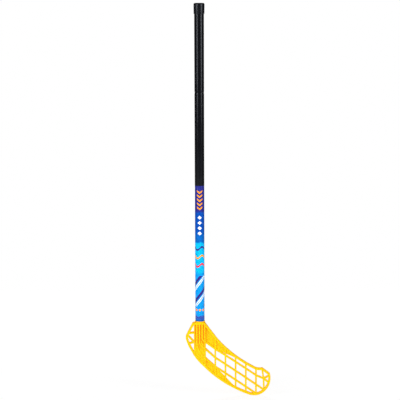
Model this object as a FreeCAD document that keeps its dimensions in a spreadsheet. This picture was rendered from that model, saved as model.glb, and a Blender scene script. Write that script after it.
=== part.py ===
"""Junior floorball stick: tapered tube shaft, grip sleeves, printed wrap, end cap, moulded blade and its screws.

The shaft axis is Z, the toe of the blade points along +X and the concave face of the blade looks along -Y.
The origin lies on the shaft axis at the middle of the upper grip, where the top hand holds the stick.
"""
import FreeCAD
import Part
import math
import os
import Sketcher

X_AXIS = FreeCAD.Vector(1, 0, 0)
Y_AXIS = FreeCAD.Vector(0, 1, 0)
Z_AXIS = FreeCAD.Vector(0, 0, 1)
DIAGONAL = FreeCAD.Vector(1, 1, 1)

# Sheet name, then every driving size in millimetres with its meaning
SHEET = "Sizes"
SIZES = (
    ("upper_grip_length", "181", "grip between the cap and the seam"),
    ("lower_grip_length", "216.5", "grip between the seam and the printed wrap"),
    ("wrap_length", "320.3", "printed wrap between the grip and the blade"),
    ("shaft_top_diameter", "21.5", "bare tube at its upper end"),
    ("shaft_bottom_diameter", "20.65", "bare tube at its lower end"),
    ("shaft_wall", "1.6", "tube wall"),
    ("grip_thickness", "0.5", "wall of both grip sleeves"),
    ("wrap_thickness", "0.35", "wall of the printed wrap"),
    ("sleeve_clearance", "0.05", "between the tube and what is pulled over it"),
    ("seam_bevel_height", "1.6", "bevel along the axis where the grip sleeves meet"),
    ("seam_bevel_depth", "0.42", "same bevel across the sleeve wall"),
    ("cap_height", "25.1", "whole end cap"),
    ("cap_top_diameter", "25.6", "cap at its end face"),
    ("cap_rim_diameter", "24.9", "cap at its open rim"),
    ("cap_end_thickness", "3.2", "end plate of the cap"),
    ("cap_edge_radius", "3", "round on the outer edge of the end plate"),
    ("cap_clearance", "0.08", "between the cap and the grip and tube"),
    ("cap_spigot_length", "14", "stem of the cap inside the tube"),
    ("cap_spigot_wall", "1.6", "wall of that stem"),
    ("socket_depth", "48", "tube seat inside the hosel"),
    ("socket_clearance", "0.1", "between the tube and the hosel bore"),
    ("socket_floor", "4", "solid hosel below the tube seat"),
    ("collar_wall", "1.55", "ring at the mouth of the hosel"),
    ("collar_height", "6", "same ring along the axis"),
    ("hosel_wall", "1.05", "hosel between its ribs"),
    ("hosel_rib_rise", "1.4", "ribs above that wall at the front"),
    ("hosel_flank_rise", "2", "ribs above the hosel at its flanks"),
    ("hosel_side_reach", "16", "from the axis to the flank of the hosel"),
    ("hosel_side_depth", "12.4", "hosel across its flanks"),
    ("hosel_taper", "60", "run over which the hosel thins to the blade"),
    ("toe_reach", "165.2", "from the axis to the toe"),
    ("heel_reach", "33.3", "from the axis to the heel"),
    ("blade_drop", "177", "from the mouth of the hosel to the sole"),
    ("rim_width", "4.1", "rim of the blade seen from the front"),
    ("rim_depth", "10", "rim across the blade"),
    ("rib_width", "3", "ribs seen from the front"),
    ("rib_depth", "8", "ribs across the blade"),
    ("web_thickness", "2.2", "closed panels between the ribs"),
    ("hook_start", "50", "from the axis to where the blade starts to curve"),
    ("hook_radius", "560", "curve of the blade seen from above"),
    ("cross_rib_start", "11.9", "from the axis to the first upright rib"),
    ("neck_rib_offset", "11", "from the axis to the first upright rib at the collar"),
    ("heel_rib_offset", "13.25", "from the axis to the rib between hosel and heel"),
    ("heel_rib_width", "1.7", "same rib seen from the front"),
    ("flute_start", "5", "from the axis to the upright of the first long rib"),
    ("flute_pitch", "6.3", "between the uprights of the long ribs"),
    ("upper_bend", "14", "bend of the upper long rib"),
    ("middle_bend", "17", "bend of the middle long rib"),
    ("lower_bend", "47", "bend of the lower long rib"),
    ("screw_diameter", "3", "shank of a blade screw"),
    ("screw_length", "6.5", "shank below the head"),
    ("screw_head_diameter", "6", "pan head"),
    ("screw_head_height", "2.2", "pan head above its seat"),
    ("screw_drop", "15", "from the mouth of the hosel to the upper screw"),
    ("screw_pitch", "18", "between the two screws"),
    ("screw_clearance", "0.1", "between a shank and its hole"),
    ("screw_boss_diameter", "8.6", "seat of a screw head"),
    ("screw_boss_rise", "0.5", "seat above the ribs of the hosel"),
    ("recess_length", "3.6", "cross recess over its arms"),
    ("recess_width", "0.9", "arm of the cross recess"),
    ("recess_depth", "1.3", "cross recess below the crown"),
    ("blank_depth", "80", "raw depth of the blade pattern before it is trimmed"),
    ("overrun", "5", "how far a cut runs past what it cuts"),
)

CROSS_RIBS = 6
TOLERANCE = 1e-6

# Corners of the blade seen from the front, as shares of its reach and its drop
TOP_START_SHARES = (0.0588, 0.0106)
TOP_BEND_SHARES = (0.2333, 0.2256)
TOP_CURVE_SHARES = (0.5139, 0.4717)
TOP_END_SHARES = (0.7943, 0.6266)
NOTCH_SHARES = (0.8325, 0.6330)
NOTCH_END_SHARES = (0.8855, 0.6284)
TOE_CORNER_SHARES = (0.9923, 0.7017)
TOE_FRONT_SHARES = (0.9957, 0.8029)
TOE_LOW_SHARES = (0.9288, 0.9285)
TOE_CURVE_SHARES = (0.8467, 0.9840)
TOE_END_SHARES = (0.6863, 0.9877)
SOLE_CURVE_SHARES = (0.3376, 0.8313)
SOLE_END_SHARES = (0.0469, 0.6078)

# Corners on the heel side, as shares of the heel's reach and the blade's drop
BACK_CURVE_SHARES = (-0.2150, 0.5162)
BACK_END_SHARES = (-0.6208, 0.3977)
HEEL_SIDE_SHARES = (-0.8678, 0.3063)
HEEL_START_SHARES = (-0.9852, 0.2391)
HEEL_CURVE_SHARES = (-0.9979, 0.2164)
HEEL_END_SHARES = (-0.9564, 0.1888)
WING_TOP_SHARES = (-0.5105, 0.0254)
WING_START_SHARES = (-0.2943, 0.0186)

# Joints of the ribs, as shares of the reach and the drop
HUB_SHARES = (0.9043, 0.7736)
UPPER_TAIL_SHARES = (0.8015, 0.7352)
MIDDLE_TAIL_SHARES = (0.9295, 0.9398)
LOWER_TAIL_SHARES = (0.7890, 0.9769)
TOE_TOP_SHARES = (0.8825, 0.6374)
TOE_BOTTOM_SHARES = (0.9099, 0.9355)
TOE_FORE_SHARES = (0.9924, 0.7239)
TOE_AFT_SHARES = (0.9878, 0.8329)
NECK_TOP_SHARE = 0.045
NECK_KNEE_SHARE = 0.2816
WEB_TOP_SHARE = 0.5000
WEB_SOLE_SHARE = 0.9034
CROSS_TOP_SHARE = 0.2
CROSS_PITCH_SHARE = 0.15623
LOWER_WEB_SHARE = 0.5002

# Drop of the knee of each long rib, and the slope of the rib between its bend and its knee, in degrees
KNEE_SHARES = (0.3806, 0.5001, 0.6221)
LEAD_SLOPES = (37, 42.4, 42)

# Zigzag of the heel bracing: share of the way out to the heel, then share of the drop
HEEL_BRACE_SHARES = ((0, 0.1587), (0.978, 0.1704), (0.052, 0.2850), (0.757, 0.3130))


class Size:
    """A length that knows its value and the sheet expression that it comes from."""

    def __init__(self, value, text):
        self.value = value
        self.text = text

    def __add__(self, other):
        other = as_size(other)
        return Size(self.value + other.value, f"({self.text} + {other.text})")

    def __sub__(self, other):
        other = as_size(other)
        return Size(self.value - other.value, f"({self.text} - {other.text})")

    def __mul__(self, factor):
        factor = as_size(factor)
        return Size(self.value * factor.value, f"({self.text} * {factor.text})")

    def __truediv__(self, divisor):
        divisor = as_size(divisor)
        return Size(self.value / divisor.value, f"({self.text} / {divisor.text})")

    def __neg__(self):
        return Size(-self.value, f"(-1 * {self.text})")


def as_size(number):
    """Wrap a plain number, such as a share or zero, as a Size."""
    if isinstance(number, Size):
        return number
    return Size(number, f"({number:.9f})")


class Sizes:
    """Every driving size by name, read back from the sheet."""

    def __init__(self, sheet):
        for alias, _, _ in SIZES:
            setattr(self, alias, Size(float(sheet.get(alias)), f"{SHEET}.{alias}"))


def make_sheet(doc):
    """Write the driving sizes into a sheet, one row each."""
    sheet = doc.addObject("Spreadsheet::Sheet", SHEET)
    for row, (alias, value, meaning) in enumerate(SIZES, start=1):
        sheet.set(f"A{row}", alias)
        sheet.set(f"B{row}", value)
        sheet.set(f"C{row}", meaning)
        sheet.setAlias(f"B{row}", alias)
    doc.recompute()
    return sheet


class Levels:
    """Heights along the shaft, from the cap down to the sole, and what follows from them."""

    def __init__(self, s):
        self.cap_rim = s.upper_grip_length / 2
        self.cap_top = self.cap_rim + s.cap_height
        self.tube_top = self.cap_top - s.cap_end_thickness
        self.seam = -(s.upper_grip_length / 2)
        self.grip_end = self.seam - s.lower_grip_length
        self.mouth = self.grip_end - s.wrap_length
        self.tube_bottom = self.mouth - s.socket_depth
        self.hosel_straight = self.tube_bottom - s.socket_floor
        self.hosel_end = self.hosel_straight - s.hosel_taper
        self.bore_radius = s.shaft_bottom_diameter / 2 + s.socket_clearance
        self.hosel_radius = self.bore_radius + s.hosel_wall
        self.hosel_front = self.hosel_radius + s.hosel_rib_rise
        self.screw_seat = self.hosel_front + s.screw_boss_rise
        self.screws = (self.mouth - s.screw_drop, self.mouth - s.screw_drop - s.screw_pitch)

    def tube_radius(self, s, height):
        """Outer radius of the tapered tube at a height."""
        drop = (self.tube_top - height) / (self.tube_top - self.tube_bottom)
        return (s.shaft_top_diameter - (s.shaft_top_diameter - s.shaft_bottom_diameter) * drop) / 2


# Sketches

def pin(sketch, geometry, position, point):
    """Tie a sketch point to two sizes measured from the sketch origin."""
    for axis_line, kind, size in ((-2, "DistanceX", point[0]), (-1, "DistanceY", point[1])):
        size = as_size(size)
        if size.value == 0:
            sketch.addConstraint(Sketcher.Constraint("PointOnObject", geometry, position, axis_line))
        else:
            constraint = Sketcher.Constraint(kind, -1, 1, geometry, position, size.value)
            index = sketch.addConstraint(constraint)
            sketch.setExpression(f"Constraints[{index}]", size.text)


def vector(point):
    """Sketch coordinates of a point given as sizes."""
    return FreeCAD.Vector(as_size(point[0]).value, as_size(point[1]).value, 0)


def draw(sketch, start, steps, closed=True):
    """Draw lines and arcs from a start point and pin every corner.

    A step is an end point for a line, or a pair of a point passed on the way and an end point for an arc.
    """
    here = start
    last_end = None
    first_start = None
    for step in steps:
        is_arc = isinstance(step[0], tuple)
        end = step[1] if is_arc else step
        if is_arc:
            edge = Part.Arc(vector(here), vector(step[0]), vector(end))
        else:
            edge = Part.LineSegment(vector(here), vector(end))
        index = sketch.addGeometry(edge, False)
        forward = sketch.getPoint(index, 1).isEqual(vector(here), TOLERANCE)
        start_position, end_position = (1, 2) if forward else (2, 1)
        if last_end is None:
            first_start = (index, start_position)
            pin(sketch, index, start_position, start)
        else:
            sketch.addConstraint(Sketcher.Constraint("Coincident", *last_end, index, start_position))
        last_end = (index, end_position)
        if closed and step is steps[-1]:
            sketch.addConstraint(Sketcher.Constraint("Coincident", *last_end, *first_start))
        else:
            pin(sketch, index, end_position, end)
        if is_arc:
            passed = sketch.addGeometry(Part.Point(vector(step[0])), True)
            pin(sketch, passed, 1, step[0])
            sketch.addConstraint(Sketcher.Constraint("PointOnObject", passed, 1, index))
        here = end


def body_plane(body, role):
    """One of the origin planes of a body."""
    return next(feature for feature in body.Origin.OriginFeatures if feature.Role == role)


def body_sketch(body, name, role):
    """An empty sketch on an origin plane of its body."""
    sketch = body.newObject("Sketcher::SketchObject", name)
    sketch.AttachmentSupport = [(body_plane(body, role), "")]
    sketch.MapMode = "FlatFace"
    return sketch


def front_sketch(doc, name, start, steps, closed=True):
    """A sketch seen from the front: across is X, up is Z."""
    sketch = doc.addObject("Sketcher::SketchObject", name)
    sketch.Placement = FreeCAD.Placement(FreeCAD.Vector(0, 0, 0), FreeCAD.Rotation(X_AXIS, 90))
    draw(sketch, start, steps, closed)
    return sketch


def side_sketch(doc, name, start, steps):
    """A sketch seen from the side: across is Y, up is Z."""
    sketch = doc.addObject("Sketcher::SketchObject", name)
    sketch.Placement = FreeCAD.Placement(FreeCAD.Vector(0, 0, 0), FreeCAD.Rotation(DIAGONAL, 120))
    draw(sketch, start, steps)
    return sketch


def plan_sketch(doc, name, height, start, steps):
    """A sketch seen from above at a height: across is X, up is Y."""
    sketch = doc.addObject("Sketcher::SketchObject", name)
    sketch.setExpression("Placement.Base.z", height.text)
    draw(sketch, start, steps)
    return sketch


# Solids

def revolve(doc, label, start, steps):
    """A turned body: a closed profile of radius and height, spun about Z."""
    body = doc.addObject("PartDesign::Body", label)
    body.Label = label
    profile = body_sketch(body, f"{label}_profile", "XZ_Plane")
    draw(profile, start, steps)
    spin = body.newObject("PartDesign::Revolution", f"{label}_spin")
    spin.Profile = profile
    spin.ReferenceAxis = (profile, ["V_Axis"])
    spin.Angle = 360
    body.Tip = spin
    doc.recompute()
    return body


def extrude(doc, name, base, direction, forward, backward=0):
    """A prism from a sketch or a flat face."""
    prism = doc.addObject("Part::Extrusion", name)
    prism.Base = base
    prism.DirMode = "Custom"
    prism.Dir = direction
    prism.Solid = True
    prism.setExpression("LengthFwd", as_size(forward).text)
    prism.setExpression("LengthRev", as_size(backward).text)
    return prism


def cylinder(doc, name, radius, height, place, rotation=None):
    """A cylinder whose base circle sits at a place of three sizes."""
    solid = doc.addObject("Part::Cylinder", name)
    solid.setExpression("Radius", radius.text)
    solid.setExpression("Height", height.text)
    if rotation:
        solid.Placement = FreeCAD.Placement(FreeCAD.Vector(0, 0, 0), rotation)
    for axis, size in zip("xyz", place):
        solid.setExpression(f"Placement.Base.{axis}", as_size(size).text)
    return solid


def fuse(doc, name, shapes):
    """One solid from several that touch."""
    joined = doc.addObject("Part::MultiFuse", name)
    joined.Shapes = shapes
    joined.Refine = True
    return joined


def common(doc, name, base, tool):
    """What two solids share."""
    shared = doc.addObject("Part::Common", name)
    shared.Base = base
    shared.Tool = tool
    return shared


def cut(doc, name, base, tool):
    """One solid less another."""
    rest = doc.addObject("Part::Cut", name)
    rest.Base = base
    rest.Tool = tool
    return rest


# Shaft, sleeves and cap

def build_shaft(doc, s, at):
    """Tapered tube with two holes at the back for the blade screws."""
    top = s.shaft_top_diameter / 2
    bottom = s.shaft_bottom_diameter / 2
    body = revolve(doc, "shaft_tube", (top - s.shaft_wall, at.tube_top), [
        (top, at.tube_top),
        (bottom, at.tube_bottom),
        (bottom - s.shaft_wall, at.tube_bottom),
        (top - s.shaft_wall, at.tube_top),
    ])
    whole = body.Shape.Volume
    holes = body_sketch(body, "shaft_tube_holes", "XZ_Plane")
    for height in at.screws:
        radius = s.screw_diameter / 2 + s.screw_clearance
        index = holes.addGeometry(Part.Circle(vector((0, height)), Z_AXIS, radius.value), False)
        pin(holes, index, 3, (0, height))
        round_hole = holes.addConstraint(Sketcher.Constraint("Radius", index, radius.value))
        holes.setExpression(f"Constraints[{round_hole}]", radius.text)
    drill = body.newObject("PartDesign::Pocket", "shaft_tube_drill")
    drill.Profile = holes
    drill.Type = "ThroughAll"
    body.Tip = drill
    doc.recompute()
    if body.Shape.Volume >= whole:
        raise RuntimeError("the screw holes missed the tube")
    return body


def build_sleeve(doc, s, at, label, upper, lower, thickness, seam=None):
    """Thin sleeve on the tapered tube, bevelled at the end that meets the next sleeve."""
    def inner(height):
        return at.tube_radius(s, height) + s.sleeve_clearance

    def outer(height):
        return inner(height) + thickness

    steps = []
    if seam == "upper":
        steps.append((outer(upper) - s.seam_bevel_depth, upper))
        steps.append((outer(upper), upper - s.seam_bevel_height))
    else:
        steps.append((outer(upper), upper))
    if seam == "lower":
        steps.append((outer(lower), lower + s.seam_bevel_height))
        steps.append((outer(lower) - s.seam_bevel_depth, lower))
    else:
        steps.append((outer(lower), lower))
    steps.append((inner(lower), lower))
    steps.append((inner(upper), upper))
    return revolve(doc, label, (inner(upper), upper), steps)


def build_cap(doc, s, at):
    """Moulded cap: end plate, skirt over the grip and hollow stem inside the tube."""
    top = s.cap_top_diameter / 2
    rim = s.cap_rim_diameter / 2
    grip_top = at.tube_radius(s, at.tube_top) + s.sleeve_clearance + s.grip_thickness
    skirt = grip_top + s.cap_clearance
    stem = s.shaft_top_diameter / 2 - s.shaft_wall - s.cap_clearance
    stem_end = at.tube_top - s.cap_spigot_length
    body = revolve(doc, "end_cap", (0, at.cap_top), [
        (top, at.cap_top),
        (rim, at.cap_rim),
        (skirt, at.cap_rim),
        (skirt, at.tube_top),
        (stem, at.tube_top),
        (stem, stem_end),
        (stem - s.cap_spigot_wall, stem_end),
        (stem - s.cap_spigot_wall, at.tube_top),
        (0, at.tube_top),
        (0, at.cap_top),
    ])
    edges = []
    for index, edge in enumerate(body.Shape.Edges, start=1):
        on_end_face = abs(edge.CenterOfMass.z - at.cap_top.value) < TOLERANCE
        if on_end_face and isinstance(edge.Curve, Part.Circle):
            edges.append(f"Edge{index}")
    turned = body.Tip
    rounding = body.newObject("PartDesign::Fillet", "end_cap_round")
    rounding.Base = (turned, edges)
    rounding.setExpression("Radius", s.cap_edge_radius.text)
    body.Tip = rounding
    return body


# Blade

class BladePlan:
    """Places on the blade seen from the front, worked out from its reach, its drop and its ribs."""

    def __init__(self, s, at):
        self.s = s
        self.at = at
        pitch = (s.toe_reach - s.cross_rib_start) * CROSS_PITCH_SHARE
        self.cross_ribs = [s.cross_rib_start + pitch * index for index in range(CROSS_RIBS)]
        self.heel_rib = -s.heel_rib_offset
        self.knees = [(self.cross_ribs[1], self.drop(share)) for share in KNEE_SHARES]

    def drop(self, share):
        """Height at a share of the drop."""
        return self.at.mouth - self.s.blade_drop * share

    def toe(self, shares):
        """Place on the toe side."""
        return (self.s.toe_reach * shares[0], self.drop(shares[1]))

    def heel(self, shares):
        """Place on the heel side."""
        return (self.s.heel_reach * shares[0], self.drop(shares[1]))

    def outline(self):
        """Start and steps of the outer edge, clockwise from the hosel along the top."""
        start = self.toe(TOP_START_SHARES)
        steps = [
            self.toe(TOP_BEND_SHARES),
            (self.toe(TOP_CURVE_SHARES), self.toe(TOP_END_SHARES)),
            (self.toe(NOTCH_SHARES), self.toe(NOTCH_END_SHARES)),
            self.toe(TOE_CORNER_SHARES),
            (self.toe(TOE_FRONT_SHARES), self.toe(TOE_LOW_SHARES)),
            (self.toe(TOE_CURVE_SHARES), self.toe(TOE_END_SHARES)),
            (self.toe(SOLE_CURVE_SHARES), self.toe(SOLE_END_SHARES)),
            (self.heel(BACK_CURVE_SHARES), self.heel(BACK_END_SHARES)),
            (self.heel(HEEL_SIDE_SHARES), self.heel(HEEL_START_SHARES)),
            (self.heel(HEEL_CURVE_SHARES), self.heel(HEEL_END_SHARES)),
            self.heel(WING_TOP_SHARES),
            self.heel(WING_START_SHARES),
            start,
        ]
        return start, steps

    def long_rib(self, index, bend, tail):
        """Start and steps of a rib that runs down the hosel, bends and follows the blade to the toe."""
        across = self.s.flute_start - self.s.flute_pitch * index
        knee = self.knees[index]
        slope = math.radians(LEAD_SLOPES[index])
        corner = knee[1] + (knee[0] - across) * math.tan(slope)
        turn = math.radians(90) - slope
        run = bend * math.tan(turn / 2)
        bend_start = (across, corner + run)
        bend_middle = (across + bend * (1 - math.cos(turn / 2)), bend_start[1] - bend * math.sin(turn / 2))
        bend_end = (across + run * math.cos(slope), corner - run * math.sin(slope))
        start = (across, self.at.mouth - self.s.collar_height / 2)
        return start, [bend_start, (bend_middle, bend_end), knee] + [self.toe(shares) for shares in tail]

    def bent_ribs(self):
        """Every rib with a bend, by name: start and steps of its centre line."""
        s = self.s
        hub = self.toe(HUB_SHARES)
        first = self.cross_ribs[0]
        out = s.heel_reach - s.heel_rib_offset
        brace = [(self.heel_rib - out * share, self.drop(drop)) for share, drop in HEEL_BRACE_SHARES]
        return {
            "upper_rib": self.long_rib(0, s.upper_bend, (UPPER_TAIL_SHARES, HUB_SHARES)),
            "middle_rib": self.long_rib(1, s.middle_bend, (MIDDLE_TAIL_SHARES,)),
            "lower_rib": self.long_rib(2, s.lower_bend, (LOWER_TAIL_SHARES,)),
            "neck_rib": ((s.neck_rib_offset, self.drop(NECK_TOP_SHARE)),
                         [(first, self.drop(NECK_KNEE_SHARE)), (first, self.drop(SOLE_END_SHARES[1]))]),
            "heel_brace": (brace[0], brace[1:]),
            "toe_rib": (self.toe(TOE_TOP_SHARES), [hub, self.toe(TOE_BOTTOM_SHARES)]),
            "toe_fork": (self.toe(TOE_FORE_SHARES), [hub, self.toe(TOE_AFT_SHARES)]),
        }

    def window_zone(self):
        """Start and steps round the part of the blade that has open windows."""
        s = self.s
        first = self.cross_ribs[0]
        fourth = self.cross_ribs[3]
        above = self.at.mouth + s.overrun
        below = self.drop(1) - s.overrun
        beyond = s.toe_reach + s.overrun
        start = (first, self.drop(NECK_KNEE_SHARE))
        steps = [
            self.knees[0],
            (fourth, self.drop(WEB_TOP_SHARE)),
            (fourth, above),
            (beyond, above),
            (beyond, below),
            (fourth, below),
            (fourth, self.drop(WEB_SOLE_SHARE)),
            self.knees[2],
            (first, self.drop(LOWER_WEB_SHARE)),
            start,
        ]
        return start, steps


def build_slab(doc, s, at, name, depth):
    """Plate of one depth that runs straight from the heel and then follows the hook of the blade."""
    half = depth / 2
    back = -(s.heel_reach + s.overrun)
    sweep = math.asin((s.toe_reach + s.overrun - s.hook_start).value / (s.hook_radius - s.rim_depth).value)

    def hooked(radius, angle):
        return (s.hook_start + radius * math.sin(angle), radius * math.cos(angle) - s.hook_radius)

    outer = s.hook_radius + half
    inner = s.hook_radius - half
    start = (back, half)
    steps = [
        (s.hook_start, half),
        (hooked(outer, sweep / 2), hooked(outer, sweep)),
        hooked(inner, sweep),
        (hooked(inner, sweep / 2), (s.hook_start, -half)),
        (back, -half),
        start,
    ]
    plan = plan_sketch(doc, f"{name}_plan", at.mouth, start, steps)
    return extrude(doc, name, plan, -Z_AXIS, s.blade_drop + s.overrun)


def build_bow(doc, s, at, name, front, flank, thin):
    """Body round the hosel: bowed across, deep out to the heel, then thinning down to the blade."""
    side = s.hosel_side_reach
    back = -(s.heel_reach + s.overrun)
    top = at.mouth - s.collar_height / 2
    start = (back, flank)
    plan = plan_sketch(doc, f"{name}_plan", top, start, [
        (-side, flank),
        ((0, front), (side, flank)),
        (s.hook_start, thin),
        (s.hook_start, -thin),
        (side, -flank),
        ((0, -front), (-side, -flank)),
        (back, -flank),
        start,
    ])
    bowed = extrude(doc, f"{name}_bow", plan, -Z_AXIS, top - at.hosel_end)
    side_start = (front, top)
    profile = side_sketch(doc, f"{name}_side", side_start, [
        (front, at.hosel_straight),
        (thin, at.hosel_end),
        (-thin, at.hosel_end),
        (-front, at.hosel_straight),
        (-front, top),
        side_start,
    ])
    tapered = extrude(doc, f"{name}_taper", profile, X_AXIS, s.toe_reach, s.toe_reach)
    return common(doc, name, bowed, tapered)


def build_hosel(doc, s, at, plan, blank):
    """Bowed hosel that flattens to the web above the sole, with its collar and its screw bosses."""
    collar = cylinder(doc, "collar", at.bore_radius + s.collar_wall, s.collar_height,
                      (0, 0, at.mouth - s.collar_height))
    flank = s.hosel_side_depth / 2 - s.hosel_flank_rise
    bow = build_bow(doc, s, at, "core_bow", at.hosel_radius, flank, s.web_thickness / 2)
    room = doc.addObject("Part::Box", "core_room")
    room.setExpression("Length", (plan.cross_ribs[0] - plan.heel_rib).text)
    room.setExpression("Width", s.blank_depth.text)
    room.setExpression("Height", (at.mouth - at.hosel_end).text)
    room.setExpression("Placement.Base.x", plan.heel_rib.text)
    room.setExpression("Placement.Base.y", (-(s.blank_depth / 2)).text)
    room.setExpression("Placement.Base.z", at.hosel_end.text)
    core = common(doc, "core", common(doc, "core_part", bow, room), blank)
    pieces = [collar, core]
    back = FreeCAD.Rotation(X_AXIS, -90)
    for number, height in enumerate(at.screws, start=1):
        pieces.append(cylinder(doc, f"boss_{number}", s.screw_boss_diameter / 2, at.screw_seat, (0, 0, height), back))
    return pieces


def build_ribs(doc, s, at, plan):
    """Every rib as a prism along Y: bands along the bent centre lines and straight upright walls."""
    prisms = []
    for name, (start, steps) in plan.bent_ribs().items():
        line = front_sketch(doc, f"{name}_line", start, steps, closed=False)
        band = doc.addObject("Part::Offset2D", f"{name}_band")
        band.Source = line
        band.Mode = "Pipe"
        band.Join = "Intersection"
        band.Fill = True
        band.setExpression("Value", (s.rib_width / 2).text)
        prisms.append(extrude(doc, name, band, Y_AXIS, s.blank_depth / 2, s.blank_depth / 2))
    walls = [("heel_wall", plan.heel_rib, s.heel_rib_width, at.mouth - s.collar_height / 2)]
    for number, across in enumerate(plan.cross_ribs[1:], start=2):
        walls.append((f"cross_rib_{number}", across, s.rib_width, plan.drop(CROSS_TOP_SHARE)))
    bottom = plan.drop(1)
    for name, across, width, top in walls:
        wall = doc.addObject("Part::Box", name)
        wall.setExpression("Length", width.text)
        wall.setExpression("Width", s.blank_depth.text)
        wall.setExpression("Height", (top - bottom).text)
        wall.setExpression("Placement.Base.x", (across - width / 2).text)
        wall.setExpression("Placement.Base.y", (-(s.blank_depth / 2)).text)
        wall.setExpression("Placement.Base.z", bottom.text)
        prisms.append(wall)
    return fuse(doc, "rib_blank", prisms)


def build_blade(doc, s, at):
    """One moulding: rim, ribs, closed panels and fluted hosel, trimmed to the hook of the blade."""
    plan = BladePlan(s, at)
    half = s.blank_depth / 2
    outline = front_sketch(doc, "outline", *plan.outline())
    blank = extrude(doc, "blank", outline, Y_AXIS, half, half)
    swell = build_bow(doc, s, at, "swell", at.hosel_front, s.hosel_side_depth / 2, s.rib_depth / 2)

    rim_band = doc.addObject("Part::Offset2D", "rim_band")
    rim_band.Source = outline
    rim_band.Join = "Arc"
    rim_band.Fill = True
    rim_band.setExpression("Value", (-s.rim_width).text)
    rim_blank = extrude(doc, "rim_blank", rim_band, Y_AXIS, half, half)
    rim_room = fuse(doc, "rim_room", [build_slab(doc, s, at, "rim_slab", s.rim_depth), swell])
    rim = common(doc, "rim", rim_blank, rim_room)

    rib_room = fuse(doc, "rib_room", [build_slab(doc, s, at, "rib_slab", s.rib_depth), swell])
    trimmed = common(doc, "rib_outline", build_ribs(doc, s, at, plan), blank)
    ribs = common(doc, "ribs", trimmed, rib_room)

    windows = extrude(doc, "windows", front_sketch(doc, "window_zone", *plan.window_zone()), Y_AXIS, half, half)
    closed = cut(doc, "closed_zone", blank, windows)
    heel_window = doc.addObject("Part::Box", "heel_window")
    heel_window.setExpression("Length", s.heel_reach.text)
    heel_window.setExpression("Width", s.blank_depth.text)
    heel_window.setExpression("Height", s.blade_drop.text)
    heel_window.setExpression("Placement.Base.x", (plan.heel_rib - s.heel_reach).text)
    heel_window.setExpression("Placement.Base.y", (-half).text)
    heel_window.setExpression("Placement.Base.z", plan.drop(1).text)
    panels = cut(doc, "panels", closed, heel_window)
    web = common(doc, "web", panels, build_slab(doc, s, at, "web_slab", s.web_thickness))

    moulding = fuse(doc, "moulding", [rim, ribs, web] + build_hosel(doc, s, at, plan, blank))
    holes = [cylinder(doc, "bore", at.bore_radius, s.socket_depth + s.overrun, (0, 0, at.tube_bottom))]
    back = FreeCAD.Rotation(X_AXIS, -90)
    for number, height in enumerate(at.screws, start=1):
        radius = s.screw_diameter / 2 + s.screw_clearance
        holes.append(cylinder(doc, f"screw_hole_{number}", radius, at.screw_seat + s.overrun, (0, 0, height), back))
    blade = cut(doc, "blade", moulding, fuse(doc, "blade_holes", holes))
    return blade


# Screws

def build_screw(doc, s, at, name, height):
    """Pan head screw with a cross recess, its axis along Y and its head at the back of the hosel."""
    head = s.screw_head_diameter / 2
    shank = s.screw_diameter / 2
    tip = -s.screw_length
    crown = (head * math.cos(math.radians(45)), s.screw_head_height * math.sin(math.radians(60)))
    body = revolve(doc, name, (0, s.screw_head_height), [
        (crown, (head, 0)),
        (shank, 0),
        (shank, tip + shank),
        (0, tip),
        (0, s.screw_head_height),
    ])
    whole = body.Shape.Volume
    arm = s.recess_width / 2
    reach = s.recess_length / 2
    recess = body_sketch(body, f"{name}_recess", "XY_Plane")
    recess.setExpression("AttachmentOffset.Base.z", s.screw_head_height.text)
    draw(recess, (arm, arm), [
        (reach, arm), (reach, -arm), (arm, -arm), (arm, -reach), (-arm, -reach), (-arm, -arm),
        (-reach, -arm), (-reach, arm), (-arm, arm), (-arm, reach), (arm, reach), (arm, arm),
    ])
    drive = body.newObject("PartDesign::Pocket", f"{name}_drive")
    drive.Profile = recess
    drive.setExpression("Length", s.recess_depth.text)
    body.Tip = drive
    body.Placement = FreeCAD.Placement(FreeCAD.Vector(0, 0, 0), FreeCAD.Rotation(X_AXIS, -90))
    body.setExpression("Placement.Base.y", at.screw_seat.text)
    body.setExpression("Placement.Base.z", height.text)
    doc.recompute()
    if body.Shape.Volume >= whole:
        raise RuntimeError("the cross recess missed the screw head")
    return body


def build_screws(doc, s, at):
    """The two screws that hold the blade on the tube."""
    screws = doc.addObject("Part::Compound", "blade_screws")
    screws.Links = [build_screw(doc, s, at, f"blade_screw_{number}", height)
                    for number, height in enumerate(at.screws, start=1)]
    return screws


def check(doc, parts):
    """Stop if any object failed or any finished piece is not a sound solid."""
    for item in doc.Objects:
        if "Invalid" in item.State or "Error" in item.State:
            raise RuntimeError(f"{item.Name} failed: {item.State}")
    for part in parts:
        shape = part.Shape
        if shape.isNull() or not shape.isValid() or not shape.Solids:
            raise RuntimeError(f"{part.Label} is not a valid solid")
        print(f"{part.Label}: {len(shape.Solids)} solid, {shape.Volume:.1f} mm3, {shape.BoundBox}")


def main():
    """Build the stick and write one file for each piece."""
    doc = FreeCAD.newDocument("floorball_stick")
    s = Sizes(make_sheet(doc))
    at = Levels(s)
    sleeve_top = at.tube_top
    parts = [
        build_shaft(doc, s, at),
        build_sleeve(doc, s, at, "grip_sleeve_upper", sleeve_top, at.seam, s.grip_thickness, "lower"),
        build_sleeve(doc, s, at, "grip_sleeve_lower", at.seam, at.grip_end, s.grip_thickness, "upper"),
        build_sleeve(doc, s, at, "print_film", at.grip_end, at.mouth, s.wrap_thickness),
        build_cap(doc, s, at),
        build_blade(doc, s, at),
        build_screws(doc, s, at),
    ]
    doc.recompute()
    check(doc, parts)
    os.makedirs("parts", exist_ok=True)
    for part in parts:
        part.Shape.exportStep(f"parts/{part.Label}.step")


main()
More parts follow.
